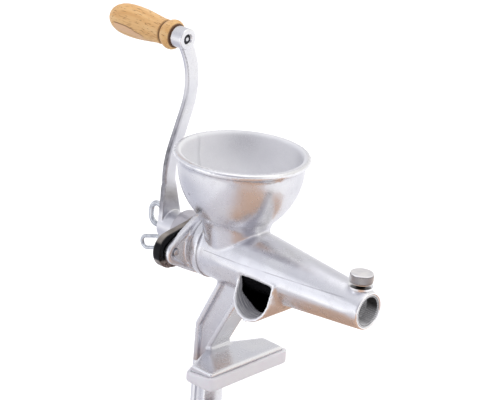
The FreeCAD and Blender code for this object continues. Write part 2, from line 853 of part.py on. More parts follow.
def cover_eye_screw(spot):
    """Screw through the cover's ear into the flange, its loop pointing back."""
    face = cover_rear - washer_thickness
    reach = flange_front - flange_recess + cover_screw_tip - face
    loop = (cover_eye_wire, cover_eye_width, cover_eye_length, cover_eye_rise, cover_eye_droop)
    return eye_screw(spot, face, cover_screw_radius, reach, loop)


def cover_washers():
    """One washer under each of the cover's eye screws."""
    return Part.makeCompound([screw_washer(spot, cover_rear, cover_screw_radius) for spot in ear_spots()])


# Pressure screw
def pressure_screw_washer():
    """Thin flange washer between the boss and the thumb screw."""
    seat = pressure_seat + seat_fit
    body = post(pressure_washer_radius, seat, seat + pressure_washer_thickness, pressure_place)
    return ring(body, post(pressure_stem_radius + running_fit, seat - over, seat + over, pressure_place))


def pressure_screw():
    """Thumb screw whose tip holds the liner in the nozzle."""
    tip = axis_height + liner_radius + running_gap
    neck = pressure_seat + pressure_washer_thickness + 2 * seat_fit
    head_bottom = neck + pressure_neck_length
    head_top = head_bottom + pressure_head_length
    head = post(pressure_head_radius, head_bottom, head_top, pressure_place)
    rims = [edge for edge in head.Edges if len(edge.Vertexes) == 1]
    head = head.makeChamfer(pressure_head_chamfer, rims)
    return head.multiFuse([
        post(pressure_neck_radius, neck, head_bottom, pressure_place),
        post(pressure_stem_radius, tip, neck, pressure_place),
    ])


# Clamp screw, pad and bar
def clamp_pad():
    """Swivel pad with a pocket for the rivet's head."""
    pocket = pad_top - rivet_head_length - running_gap
    return post(pad_radius, pad_bottom, pad_top, clamp_axis).cut(Part.makeCompound([
        post(rivet_radius + running_fit, pad_bottom - over, pad_top, clamp_axis),
        post(rivet_head_radius + running_gap, pocket, pad_top + over, clamp_axis),
    ]))


def clamp_pad_cap():
    """Soft cap that keeps the pad from marking the table."""
    skirt_bottom = pad_top - pad_cap_skirt
    body = post(pad_radius + pad_cap_wall, skirt_bottom, -clamp_grip, clamp_axis)
    rim = [edge for edge in body.Edges if min(v.Z for v in edge.Vertexes) > -clamp_grip - running_gap]
    body = body.makeFillet(pad_cap_rounding, rim)
    return body.cut(post(pad_radius + seat_fit, skirt_bottom - over, pad_top, clamp_axis))


def pad_rivet():
    """Rivet that holds the pad on the screw and lets it swivel."""
    head_top = pad_top - running_gap / 2
    head_bottom = head_top - rivet_head_length
    shank_bottom = pad_bottom - rivet_depth
    shank = post(rivet_radius, shank_bottom, head_bottom, clamp_axis)
    return shank.fuse(post(rivet_head_radius, head_bottom, head_top, clamp_axis))


def bar_rod(radius, start, end):
    """Round bar along Y through the clamp screw's head."""
    return Part.makeCylinder(radius, end - start, V(clamp_axis, start, bar_height), V(0, 1, 0))


def clamp_screw():
    """Clamp spindle with a cross-drilled head."""
    head_bottom = clamp_head_top - clamp_head_length
    head = post(clamp_head_radius, head_bottom, clamp_head_top, clamp_axis)
    rims = [edge for edge in head.Edges if len(edge.Vertexes) == 1]
    head = head.makeFillet(clamp_head_rounding, rims)
    body = head.fuse(post(clamp_screw_radius, clamp_head_top - over, pad_bottom - seat_fit, clamp_axis))
    return body.cut(Part.makeCompound([
        post(rivet_radius + seat_fit, pad_bottom - rivet_depth - running_gap, pad_bottom + over, clamp_axis),
        bar_rod(bar_radius + running_fit, -clamp_head_radius - over, clamp_head_radius + over),
    ]))


def clamp_bar():
    """Sliding bar that turns the clamp screw."""
    return bar_rod(bar_radius, -bar_length / 2, bar_length / 2)


def clamp_bar_knobs():
    """Turned knobs on both ends of the bar."""
    knobs = []
    for sign in (-1, 1):
        outer_end = bar_length / 2 + knob_overhang
        inner_end = outer_end - knob_length
        low, high = sorted((sign * inner_end, sign * outer_end))
        knob = bar_rod(knob_radius, low, high)
        rims = [edge for edge in knob.Edges if len(edge.Vertexes) == 1]
        knob = knob.makeFillet(knob_rounding, rims)
        low, high = sorted((sign * (inner_end - over), sign * bar_length / 2))
        knobs.append(knob.cut(bar_rod(bar_radius + seat_fit, low, high)))
    return Part.makeCompound(knobs)


near_ear, far_ear = ear_spots()
pieces = {
    "body_casting": body_casting(),
    "jaw_cap": jaw_cap(),
    "juice_strainer": juice_strainer(),
    "nozzle_liner": nozzle_liner(),
    "rear_cover": rear_cover(),
    "bearing_bush": bearing_bush(),
    "shaft_seal": shaft_seal(),
    "cover_eye_screw_near": cover_eye_screw(near_ear),
    "cover_eye_screw_far": cover_eye_screw(far_ear),
    "cover_washers": cover_washers(),
    "auger": auger(),
    "thrust_washer": thrust_washer(),
    "crank_arm": crank_arm(),
    "crank_washer": screw_washer((0, axis_height), hub_rear, crank_screw_radius),
    "crank_eye_screw": crank_eye_screw(),
    "grip_pin": grip_pin(),
    "wooden_grip": wooden_grip(),
    "pressure_screw_washer": pressure_screw_washer(),
    "pressure_screw": pressure_screw(),
    "clamp_pad": clamp_pad(),
    "clamp_pad_cap": clamp_pad_cap(),
    "pad_rivet": pad_rivet(),
    "clamp_screw": clamp_screw(),
    "clamp_bar": clamp_bar(),
    "clamp_bar_knobs": clamp_bar_knobs(),
}

os.makedirs("parts", exist_ok=True)
for name, shape in pieces.items():
    shape.exportStep("parts/" + name + ".step")
    print(name, "valid", shape.isValid(), "solids", len(shape.Solids), "volume", round(shape.Volume))
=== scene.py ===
# %% [markdown]
# A hand-cranked juice press that holds on by a screw clamp: a cast hopper and a tapered barrel, a bent crank
# with a turned grip, a knurled thumb screw on the nozzle, and the clamp underneath.
# The solids come from a CAD model and stay where they are. This lesson gives them their looks: soft cast
# edges, real threads and knurls, and finishes made of nodes.

import math
from types import SimpleNamespace

import bmesh
import bpy
from mathutils import Matrix, Vector, noise


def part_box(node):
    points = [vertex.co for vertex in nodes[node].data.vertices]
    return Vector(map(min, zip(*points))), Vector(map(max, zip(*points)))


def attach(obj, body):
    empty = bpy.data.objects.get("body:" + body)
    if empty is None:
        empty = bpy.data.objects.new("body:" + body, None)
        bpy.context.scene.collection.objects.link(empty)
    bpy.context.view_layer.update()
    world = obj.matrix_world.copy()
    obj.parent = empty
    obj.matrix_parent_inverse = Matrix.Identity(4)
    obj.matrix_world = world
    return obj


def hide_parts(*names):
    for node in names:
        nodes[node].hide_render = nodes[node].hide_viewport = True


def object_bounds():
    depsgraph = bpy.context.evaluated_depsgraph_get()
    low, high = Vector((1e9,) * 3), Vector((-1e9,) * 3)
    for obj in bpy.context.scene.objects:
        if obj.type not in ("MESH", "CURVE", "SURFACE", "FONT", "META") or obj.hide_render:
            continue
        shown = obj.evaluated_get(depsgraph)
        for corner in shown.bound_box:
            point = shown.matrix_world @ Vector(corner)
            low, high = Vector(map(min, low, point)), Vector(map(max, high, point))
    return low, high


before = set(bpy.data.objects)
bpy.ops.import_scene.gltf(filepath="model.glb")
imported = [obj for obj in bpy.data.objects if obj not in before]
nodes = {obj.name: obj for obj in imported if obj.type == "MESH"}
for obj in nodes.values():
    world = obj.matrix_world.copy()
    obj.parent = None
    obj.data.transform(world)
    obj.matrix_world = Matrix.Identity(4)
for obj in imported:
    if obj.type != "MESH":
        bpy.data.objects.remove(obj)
solids_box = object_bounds()
scene = bpy.context.scene
scene.view_settings.view_transform = "Standard"
print("solids", len(nodes), "box", solids_box)

# %% [markdown]
# The camera stands a little to the nozzle's side and looks down by about twenty degrees, with a long lens and a
# slight roll. A rotation can be typed as three angles, but building it from the camera's three directions
# (right, up and back) makes the roll easy to understand.

# %% Camera
view_turn = math.radians(41.56)
view_rise = math.radians(20.91)
view_roll = math.radians(4.73)
view_target = Vector((0.01137, 0, 0.14284))
view_distance = 1.34421
focal_share = 3.58218  # focal length over the picture's width
sensor_width = 36

view_back = Vector((math.sin(view_turn) * math.cos(view_rise),
                    -math.cos(view_turn) * math.cos(view_rise),
                    math.sin(view_rise)))
view_level = Vector((math.cos(view_turn), math.sin(view_turn), 0))
view_up = view_back.cross(view_level)
camera_right = math.cos(view_roll) * view_level + math.sin(view_roll) * view_up
camera_up = math.cos(view_roll) * view_up - math.sin(view_roll) * view_level

camera = bpy.data.objects.new("camera", bpy.data.cameras.new("camera"))
camera.data.sensor_width = sensor_width
camera.data.lens = sensor_width * focal_share
turn = Matrix((camera_right, camera_up, view_back)).transposed().to_4x4()
camera.matrix_world = Matrix.Translation(view_target + view_distance * view_back) @ turn
scene.collection.objects.link(camera)
scene.camera = camera
print("camera at", tuple(round(value, 3) for value in camera.matrix_world.translation))

# %% [markdown]
# Every finish below is a small tree of nodes, so one helper adds a node, sets its options and plugs its inputs.
# Without it each node takes five lines, and the idea of the finish gets lost among them.

# %% Node helpers
def add(tree, kind, inputs=None, **options):
    """New shader node with its options set and its inputs plugged or filled."""
    node = tree.nodes.new("ShaderNode" + kind)
    for name, value in options.items():
        setattr(node, name, value)
    for name, value in (inputs or {}).items():
        if isinstance(value, bpy.types.NodeSocket):
            tree.links.new(value, node.inputs[name])
        else:
            node.inputs[name].default_value = value
    return node


def placed(tree, stretch=(1, 1, 1), middle=(0, 0, 0)):
    """Object coordinates from a middle point, stretched along the axes."""
    coordinates = add(tree, "TexCoord").outputs["Object"]
    offset = tuple(-part * scale for part, scale in zip(middle, stretch))
    return add(tree, "Mapping", {"Vector": coordinates, "Scale": stretch, "Location": offset}).outputs["Vector"]


def speckle(tree, per_metre, detail=3, stretch=(1, 1, 1)):
    """Cloudy noise from 0 to 1 with so many blotches in a metre."""
    inputs = {"Vector": placed(tree, stretch), "Scale": per_metre, "Detail": detail}
    return add(tree, "TexNoise", inputs).outputs["Fac"]


def shade(value):
    """Socket's colour from a grey or a colour. A linked socket stays as it is."""
    if isinstance(value, (int, float)):
        return (value, value, value, 1)
    return (*value, 1) if isinstance(value, tuple) else value


def ramp(tree, value, stops):
    """Colour for a value, from (place, grey or colour) stops."""
    node = add(tree, "ValToRGB", {"Fac": value})
    while len(node.color_ramp.elements) < len(stops):
        node.color_ramp.elements.new(0.5)
    for element, (place, colour) in zip(node.color_ramp.elements, stops):
        element.position = place
        element.color = shade(colour)
    return node.outputs["Color"]


def mixed(tree, share, first, second, how="MIX"):
    """Two colours blended by a share."""
    inputs = {"Fac": share, "Color1": shade(first), "Color2": shade(second)}
    return add(tree, "MixRGB", inputs, blend_type=how).outputs["Color"]


def relief(tree, height, depth, under=None):
    """Bump of a depth in metres, laid over another bump."""
    inputs = {"Height": height, "Distance": depth, "Strength": 1.0}
    if under:
        inputs["Normal"] = under
    return add(tree, "Bump", inputs).outputs["Normal"]


def eased(tree, value, start, end):
    """Share from 0 to 1 while a value goes from start to end."""
    inputs = {"Value": value, "From Min": start, "From Max": end}
    return add(tree, "MapRange", inputs, interpolation_type="SMOOTHSTEP").outputs["Result"]


def joined(tree, how, *shares):
    """Shares joined one after another by one kind of sum."""
    result = shares[0]
    for share in shares[1:]:
        result = add(tree, "Math", {0: result, 1: share}, operation=how).outputs[0]
    return result


def product(tree, *shares):
    """Shares multiplied together."""
    return joined(tree, "MULTIPLY", *shares)


def greatest(tree, *shares):
    """Greatest of several shares."""
    return joined(tree, "MAXIMUM", *shares)


def along(tree, place, direction):
    """How far a place lies along a direction."""
    return add(tree, "VectorMath", {0: place, 1: direction}, operation="DOT_PRODUCT").outputs["Value"]


def distance(tree, middle, stretch=(1, 1, 1)):
    """How far the surface lies from a point, or from a line along an axis whose stretch is 0."""
    return add(tree, "VectorMath", {0: placed(tree, stretch, middle)}, operation="LENGTH").outputs["Value"]


def line_at(tree, value, place, half_width):
    """Share that is 1 on a thin line where a value meets a place."""
    off = add(tree, "Math", {0: value, 1: place}, operation="SUBTRACT").outputs[0]
    off = add(tree, "Math", {0: off}, operation="ABSOLUTE").outputs[0]
    return eased(tree, off, half_width, half_width / 3)


def painted(tree, name):
    """Mask painted on a mesh's points."""
    return add(tree, "Attribute", attribute_name=name).outputs["Fac"]


def finish(name, inputs, **fixed):
    """Fill a finish's main shader: linked inputs and fixed values."""
    material = bpy.data.materials[name]
    shader = material.node_tree.nodes["Principled BSDF"]
    for socket, value in {**inputs, **fixed}.items():
        socket = shader.inputs[socket.replace("_", " ")]
        if isinstance(value, bpy.types.NodeSocket):
            material.node_tree.links.new(value, socket)
        else:
            socket.default_value = value
    print("finish", name, "with", len(material.node_tree.nodes), "nodes")
    return material


def new_tree(name):
    """Empty finish of that name, and its node tree."""
    material = bpy.data.materials.new(name)
    material.use_nodes = True
    return material.node_tree


# %% [markdown]
# The press stands on white. The floor is one large plane: its colour is pale, and for rays from the camera it also
# glows, so that it reads as white paper but still takes a soft shadow. Shiny metal sees a fainter glow with a cool
# dim pool behind on the left, which is what gives the barrel and the hopper their two sides. The plane lies
# lower than the press by the clamp's travel, so that the opened clamp stays clear of it.

# %% Floor
clamp_drop = 0.0103
floor_half_width = 12
floor_height = solids_box[0][2] - clamp_drop
floor_mesh = bmesh.new()
bmesh.ops.create_grid(floor_mesh, x_segments=1, y_segments=1, size=floor_half_width)
bmesh.ops.translate(floor_mesh, verts=floor_mesh.verts, vec=(0, 0, floor_height))
floor = bpy.data.objects.new("floor", bpy.data.meshes.new("floor"))
floor_mesh.to_mesh(floor.data)
floor_mesh.free()
scene.collection.objects.link(floor)

paper = new_tree("white paper")
light_path = add(paper, "LightPath").outputs
seen = joined(paper, "ADD", *(light_path[ray] for ray in ("Is Camera Ray", "Is Glossy Ray", "Is Transmission Ray")))
view_front = Vector((view_back.x, view_back.y, 0)).normalized()
pool = -0.42 * view_level - 0.22 * view_front
away = distance(paper, (pool.x, pool.y, floor_height))
mirrored = ramp(paper, away, [(0.15, (0.03, 0.04, 0.10)), (0.50, (0.36, 0.36, 0.38)), (1.0, 0.50)])
glow = mixed(paper, light_path["Is Glossy Ray"], 0.60, mirrored)
cloud = ramp(paper, speckle(paper, 3), [(0.3, (0.70, 0.70, 0.71)), (0.7, 0.72)])
finish("white paper", {"Base Color": cloud, "Emission Color": glow, "Emission Strength": seen}, Roughness=0.9)
floor.data.materials.append(bpy.data.materials["white paper"])

# %% [markdown]
# Metal shows what stands around it, so the studio matters more here than the metal's own colour. The sky is a
# soft gradient, cool on the left, whiter on the right and a little dimmer behind the camera. The camera itself
# sees plain white.

# %% Sky
scene.world = bpy.data.worlds.new("studio")
scene.world.use_nodes = True
sky = scene.world.node_tree
direction = add(sky, "TexCoord").outputs["Generated"]
height = add(sky, "SeparateXYZ", {"Vector": direction}).outputs["Z"]
height = add(sky, "MapRange", {"Value": height, "From Min": -1, "From Max": 1}).outputs["Result"]
gradient = ramp(sky, height, [(0.47, 0.95), (0.63, 0.80), (0.75, 0.75), (0.88, 0.86), (0.94, 0.92), (1.0, 0.86)])
across = along(sky, direction, view_level)
across = add(sky, "MapRange", {"Value": across, "From Min": -1, "From Max": 1}).outputs["Result"]
sides = ramp(sky, across, [(0.05, (0.86, 0.87, 0.94)), (0.45, (0.88, 0.88, 0.92)), (0.80, (1.06, 1.05, 1.03))])
front_shades = [(0.60, 1.0), (0.82, (0.76, 0.75, 0.79)), (0.95, (0.62, 0.61, 0.66))]
dim_front = ramp(sky, along(sky, direction, view_back), front_shades)
gradient = mixed(sky, 1.0, mixed(sky, 1.0, gradient, sides, "MULTIPLY"), dim_front, "MULTIPLY")
gradient = mixed(sky, add(sky, "LightPath").outputs["Is Camera Ray"], gradient, 0.87)
sky.links.new(gradient, sky.nodes["Background"].inputs["Color"])
sky.nodes["Background"].inputs["Strength"].default_value = 1.15
print("sky with", len(sky.nodes), "nodes")

# %% [markdown]
# Three soft boxes light the press. The one on the left stands low and draws the long edges, the one above keeps
# the tops bright, and the one on the right opens the shadows. Their places are given by the camera's directions,
# which is easier to picture than world axes. No lamp shows itself to the camera.

# %% Lamps
press_middle = Vector((0.02, 0, 0.10))


def soft_box(name, aside, in_front, above, size, glow, colour=(1, 1, 1)):
    """Square lamp of a brightness, placed by the camera's directions and aimed at the press."""
    offset = aside * view_level + in_front * view_front + Vector((0, 0, above))
    lamp = bpy.data.objects.new(name, bpy.data.lights.new(name, "AREA"))
    lamp.data.size = size
    lamp.data.energy = glow * math.pi * size * size
    lamp.data.color = colour
    lamp.visible_camera = False
    aim = offset.to_track_quat("Z", "Y").to_matrix().to_4x4()
    lamp.matrix_world = Matrix.Translation(press_middle + offset) @ aim
    scene.collection.objects.link(lamp)
    return lamp


lamps = [
    soft_box("key", -1.3, 0.65, 0.28, 0.9, 0.40, (0.97, 0.98, 1.0)),
    soft_box("top", 0.1, -0.2, 1.5, 1.2, 0.46),
    soft_box("fill", 1.1, 0.65, 0.95, 0.8, 0.46, (1.0, 1.0, 0.98)),
]
print("lamps", [lamp.name for lamp in lamps])

# %% [markdown]
# The warm tint on the barrel's belly and the hopper's flank is a reflection. Painting it on the metal would look
# wrong from any other side, so a tan card lies level under the jaw and reaches to the front, where only shiny
# metal can see it. It fades to a pale lavender on both sides and ends in a dark corner.

# %% Warm card
card_height = -0.0008
card_corners = [(-0.13, 0.00), (0.05, -0.10), (0.28, 0.04), (0.36, 0.62), (-0.20, 0.62)]
card_mesh = bmesh.new()
card_places = [aside * view_level + in_front * view_front for aside, in_front in card_corners]
card_mesh.faces.new([card_mesh.verts.new((place.x, place.y, card_height)) for place in card_places])
bmesh.ops.recalc_face_normals(card_mesh, faces=card_mesh.faces)
card = bpy.data.objects.new("warm card", bpy.data.meshes.new("warm card"))
card_mesh.to_mesh(card.data)
card_mesh.free()
scene.collection.objects.link(card)
card.visible_camera = card.visible_diffuse = card.visible_shadow = card.visible_transmission = False

tan = new_tree("tan card")
fibre = ramp(tan, speckle(tan, 6), [(0.3, (0.70, 0.47, 0.34)), (0.7, (0.77, 0.54, 0.40))])
ahead = along(tan, placed(tan), view_front)
aside = along(tan, placed(tan), view_level)
left_far = product(tan, eased(tan, aside, 0.05, -0.09), eased(tan, ahead, 0.06, 0.15))
faded = greatest(tan, eased(tan, aside, 0.0, -0.05), left_far, eased(tan, aside, 0.17, 0.32))
fibre = mixed(tan, faded, fibre, (0.90, 0.88, 0.90))
far_corner = product(tan, eased(tan, ahead, 0.44, 0.50), eased(tan, aside, 0.02, -0.05))
fibre = mixed(tan, far_corner, fibre, (0.16, 0.16, 0.19))
finish("tan card", {"Base Color": fibre}, Roughness=0.9)
card.data.materials.append(bpy.data.materials["tan card"])

# %% [markdown]
# The cast parts are hot-tinned iron: a bright, slightly cloudy skin over a surface that still shows the sand
# mould. One picture of noise can't give all that, so several marks are made first. Broad clouds change the gloss,
# fine grain and long draw marks make the relief, and a few nicks are scattered about. Painted shade darkens the
# hollows. Masks painted on the mesh later tell the hopper's dull inside, its stains and painted shade, the sandy
# panels, the ground faces, the spout's tooled floor, the bore painted black as shade, and the crank's narrow sides
# and hub painted darker as shade. Thin dark lines paint shade into the flange's creases and show the mould's parting.

# %% Marks on the tin
barrel_height = 0.0961
crease_places = (-0.0232, -0.0163)
parting_start, parting_climb = 0.1012, 0.035
tin_masks = ("inside", "ground", "sandy", "raw", "turned", "cast", "stain")


def tin_lines(tree, cloud):
    """Painted shade in the creases round the flange, and the faint parting line along the barrel's near side."""
    at = add(tree, "SeparateXYZ", {"Vector": placed(tree)}).outputs
    reach = distance(tree, (0, 0, barrel_height), (0, 1, 1))
    crease = greatest(tree, *(line_at(tree, at["X"], place, 0.0007) for place in crease_places))
    crease = product(tree, crease, eased(tree, reach, 0.0285, 0.0275))
    rise = add(tree, "Math", {0: at["X"], 1: parting_climb, 2: parting_start}, operation="MULTIPLY_ADD").outputs[0]
    parting = product(tree, line_at(tree, at["Z"], rise, 0.0006), eased(tree, at["Y"], -0.010, -0.012),
                      eased(tree, at["X"], -0.012, -0.008), eased(tree, at["X"], 0.126, 0.110),
                      eased(tree, cloud, 0.36, 0.50))
    return crease, parting


def tin_marks(tree):
    """Noises, masks and lines that the tinned finish mixes."""
    on = SimpleNamespace(**{name: painted(tree, name) for name in tin_masks})
    on.cloud = speckle(tree, 38, 4)
    on.blotch = speckle(tree, 160, 5)
    on.grain = speckle(tree, 1500, 3)
    on.draw = speckle(tree, 900, 2, (0.03, 1, 1))
    on.ring = speckle(tree, 1500, 3, (0.05, 1, 0.05))
    pointed = add(tree, "NewGeometry").outputs["Pointiness"]
    on.edge = ramp(tree, pointed, [(0.50, 0.0), (0.56, 1.0)])
    # Concave places are painted darker, as painted shade in the hollows.
    on.dip = ramp(tree, pointed, [(0.34, 1.0), (0.46, 0.0)])
    on.crease, on.parting = tin_lines(tree, on.cloud)
    cell = add(tree, "TexVoronoi", {"Vector": placed(tree, (0.5, 1, 1)), "Scale": 70}).outputs["Distance"]
    near_cell = ramp(tree, cell, [(0.03, 1.0), (0.08, 0.0)])
    on.spot = mixed(tree, 1.0, near_cell, ramp(tree, on.cloud, [(0.56, 0.0), (0.62, 1.0)]), "MULTIPLY")
    return on


# %% [markdown]
# The colour starts as a cloudy silver and each mark is mixed over it in turn, painted shade among them. The order
# matters: bright worn edges come after the stains and the painted shade in hollows and creases, then the crank's
# painted side shade, and the bore, painted black as shade, comes last. Where the iron is sandy, tooled or dull
# inside, it is paler and less metallic, because a rough metal scatters light as a pale paint does.

# %% Tinned iron
def tin_colour(tree, on):
    """Silver with every mark mixed over it."""
    silver = [(0.30, (0.67, 0.67, 0.71)), (0.55, (0.73, 0.73, 0.755)), (0.75, (0.77, 0.765, 0.77))]
    colour = ramp(tree, on.cloud, silver)
    fine_cloud = mixed(tree, 0.5, on.grain, on.cloud)
    dull_inside = ramp(tree, fine_cloud, [(0.36, (0.86, 0.86, 0.88)), (0.62, (0.97, 0.97, 0.98))])
    sand = ramp(tree, on.grain, [(0.35, (0.58, 0.57, 0.58)), (0.65, (0.95, 0.94, 0.94))])
    rings = ramp(tree, on.ring, [(0.40, (0.54, 0.54, 0.58)), (0.58, 0.98)])
    # Painted shade for the crank's narrow sides, mottled.
    side_shade_colour = ramp(tree, on.blotch, [(0.35, (0.10, 0.10, 0.11)), (0.65, (0.34, 0.33, 0.36))])
    layers = [
        (ramp(tree, on.blotch, [(0.58, 0.0), (0.80, 0.35)]), (0.58, 0.57, 0.59)),
        (on.inside, dull_inside),
        (on.sandy, sand),
        (on.turned, rings),
        # painted shade in the hollows
        (on.dip, (0.48, 0.47, 0.49)),
        (on.spot, (0.42, 0.41, 0.44)),
        # stains, and painted shade on the bowl's right wall
        (product(tree, on.stain, eased(tree, on.grain, 0.15, 0.65)), (0.40, 0.40, 0.43)),
        (product(tree, on.parting, 0.55), (0.36, 0.35, 0.38)),
        # painted shade in the flange's creases
        (product(tree, on.crease, 0.75), (0.22, 0.21, 0.22)),
        (on.edge, (0.93, 0.93, 0.94)),
        # painted shade on the crank's narrow sides and its shadow by the cover
        (on.cast, side_shade_colour),
        # the bore, painted black as shade
        (on.raw, (0.010, 0.010, 0.012)),
    ]
    for share, layer in layers:
        colour = mixed(tree, share, colour, layer)
    return colour


def tin_gloss(tree, on, dull):
    """Roughness: cloudy, duller by a share, matt inside the hopper and bright on ground faces."""
    gloss = ramp(tree, on.cloud, [(0.30, 0.31 + dull), (0.70, 0.22 + dull)])
    gloss = mixed(tree, ramp(tree, on.blotch, [(0.50, 0.0), (0.75, 0.5)]), gloss, 0.38)
    for share, roughness in ((on.inside, 0.60), (on.ground, 0.20), (on.cast, 0.42)):
        gloss = mixed(tree, share, gloss, roughness)
    return gloss


def tin_relief(tree, on):
    """Fine bumps: grain, blotches, draw marks, sand, tool rings and nicks."""
    sand = mixed(tree, greatest(tree, on.inside, on.sandy), 0, speckle(tree, 1100, 4))
    rings = mixed(tree, on.turned, 0, on.ring)
    nicks = ramp(tree, on.spot, [(0.0, 1.0), (1.0, 0.0)])
    skin = relief(tree, on.grain, 0.000015)
    for height, depth in ((on.blotch, 0.00005), (on.draw, 0.00002), (sand, 0.00022), (rings, 0.0002), (nicks, 0.0001)):
        skin = relief(tree, height, depth, skin)
    return skin


def tinned_iron(name, dull=0.0):
    """Bright tin over a casting, duller by a share."""
    tree = new_tree(name)
    on = tin_marks(tree)
    pale = mixed(tree, on.sandy, mixed(tree, on.turned, on.inside, 0.8), 0.7)
    metal = ramp(tree, pale, [(0.0, 1.0), (1.0, 0.10)])
    return finish(name, {"Base Color": tin_colour(tree, on), "Roughness": tin_gloss(tree, on, dull),
                         "Metallic": metal, "Normal": tin_relief(tree, on)})


tin_skin = tinned_iron("tinned casting")
crank_tin = tinned_iron("tinned crank", 0.03)

# %% [markdown]
# The bearing cover is the one dark casting. Handling has rubbed its upper face to a brown satin. The ear's end is
# painted black, the edge along the flange is painted black as the shade in the flange's seat, and the underside is
# a mottled brown. Masks by place mix them. The boss behind was turned, so it is paler.

# %% Dark casting
tree = new_tree("dark casting")
cloud = speckle(tree, 90, 5)
mottle = speckle(tree, 420, 4)
grain = speckle(tree, 1300, 3)
at = add(tree, "SeparateXYZ", {"Vector": placed(tree)}).outputs
end = product(tree, eased(tree, at["Y"], -0.037, -0.042), eased(tree, at["Z"], 0.0880, 0.0900),
              eased(tree, at["Z"], 0.1040, 0.1015))
aside = add(tree, "Math", {0: at["Y"]}, operation="ABSOLUTE").outputs[0]
# Painted shade: the edge along the flange, black where it sits in the flange's seat.
seat_shadow = product(tree, eased(tree, at["X"], -0.0362, -0.0340), eased(tree, at["Z"], 0.0860, 0.0900),
               eased(tree, aside, 0.014, 0.022))
# Black for the ear's end, and painted shade in the seat.
blackened = greatest(tree, end, seat_shadow)
colour = ramp(tree, cloud, [(0.30, (0.24, 0.21, 0.185)), (0.55, (0.38, 0.34, 0.30)), (0.75, (0.50, 0.455, 0.41))])
under = ramp(tree, mottle, [(0.38, (0.07, 0.05, 0.045)), (0.62, (0.36, 0.29, 0.26))])
colour = mixed(tree, eased(tree, at["Z"], 0.0890, 0.0855), colour, under)
turned_boss = ramp(tree, cloud, [(0.3, (0.50, 0.48, 0.50)), (0.7, (0.64, 0.62, 0.65))])
colour = mixed(tree, eased(tree, at["X"], -0.0422, -0.0430), colour, turned_boss)
edge = ramp(tree, add(tree, "NewGeometry").outputs["Pointiness"], [(0.51, 0.0), (0.58, 0.6)])
colour = mixed(tree, edge, colour, (0.45, 0.42, 0.39))
colour = mixed(tree, blackened, colour, (0.010, 0.010, 0.011))
gloss = ramp(tree, cloud, [(0.3, 0.42), (0.7, 0.30)])
gloss = mixed(tree, blackened, gloss, 0.24)
skin = relief(tree, cloud, 0.00018, relief(tree, grain, 0.00005))
dark_casting = finish("dark casting", {"Base Color": colour, "Roughness": gloss, "Normal": skin}, Metallic=0.85)

# %% [markdown]
# Beech has short dark dashes along its grain and faint growth bands. Noise stretched along the grip's axis
# gives both. The split on the belly is painted on the mesh later: a dark red line with paler wood below it.

# %% Beech
tree = new_tree("beech")
dash = speckle(tree, 1500, 2, (0.09, 1, 1))
band = speckle(tree, 260, 3, (0.10, 1, 1))
flame = speckle(tree, 45, 2, (0.5, 1, 1))
colour = ramp(tree, band, [(0.30, (0.78, 0.41, 0.135)), (0.50, (0.93, 0.545, 0.21)), (0.70, (0.97, 0.63, 0.29))])
colour = mixed(tree, ramp(tree, flame, [(0.40, 0.0), (0.70, 0.35)]), colour, (0.98, 0.70, 0.37))
colour = mixed(tree, ramp(tree, dash, [(0.60, 0.0), (0.68, 0.85)]), colour, (0.34, 0.14, 0.04))
colour = mixed(tree, painted(tree, "sapwood"), colour, (0.92, 0.60, 0.37))
colour = mixed(tree, painted(tree, "split"), colour, (0.16, 0.045, 0.02))
# A darker groove, and a painted shadow on the front face.
colour = mixed(tree, painted(tree, "dark_groove_and_gap_shadow"), colour, (0.12, 0.05, 0.02))
gloss = ramp(tree, band, [(0.3, 0.42), (0.7, 0.52)])
skin = relief(tree, dash, 0.00006, relief(tree, band, 0.00008))
beech = finish("beech", {"Base Color": colour, "Roughness": gloss, "Normal": skin}, Specular_IOR_Level=0.4)

# %% [markdown]
# The bought-in hardware is plated or bright steel. One helper makes all of it: a base colour, a gloss, fine
# turning marks and darker tarnish in the hollows, and each piece of hardware gets its own values. Darker grooves,
# painted shade, a painted dark reflection and frost are painted only on pieces that have them.

# %% Hardware finishes
def plated(name, bright, dark, roughness, marks=(1, 1, 1), wear=0.00002, worn=0.7, metallic=1.0):
    """Plated steel between two colours, with fine marks stretched along the axes and edges worn bright."""
    tree = new_tree(name)
    cloud = speckle(tree, 140, 4)
    mark = speckle(tree, 2600, 2, marks)
    pointed = add(tree, "NewGeometry").outputs["Pointiness"]
    tarnish = tuple(0.45 * part for part in dark)
    colour = ramp(tree, cloud, [(0.30, dark), (0.62, bright)])
    colour = mixed(tree, ramp(tree, pointed, [(0.40, 0.8), (0.49, 0.0)]), colour, tarnish)
    colour = mixed(tree, ramp(tree, pointed, [(0.52, 0.0), (0.60, worn)]), colour, 0.94)
    # Darker grooves, painted shade and a painted dark reflection, on pieces that carry the mask.
    colour = mixed(tree, eased(tree, painted(tree, "dark_grooves_and_shade"), 0.20, 0.60), colour, (0.02, 0.018, 0.016))
    gloss = ramp(tree, mixed(tree, 0.4, cloud, mark), [(0.30, roughness + 0.10), (0.70, roughness - 0.04)])
    gloss = mixed(tree, painted(tree, "frost"), gloss, 0.52)
    skin = relief(tree, mark, wear, relief(tree, cloud, 0.00006))
    return finish(name, {"Base Color": colour, "Roughness": gloss, "Normal": skin}, Metallic=metallic)


nickel = plated("nickel plate", (0.84, 0.82, 0.80), (0.70, 0.69, 0.70), 0.16, (1, 1, 0.05))
wire_zinc = plated("plated wire", (0.66, 0.68, 0.71), (0.38, 0.40, 0.43), 0.17)
bright_steel = plated("bright steel", (0.84, 0.84, 0.86), (0.66, 0.66, 0.69), 0.22, (0.08, 1, 1))
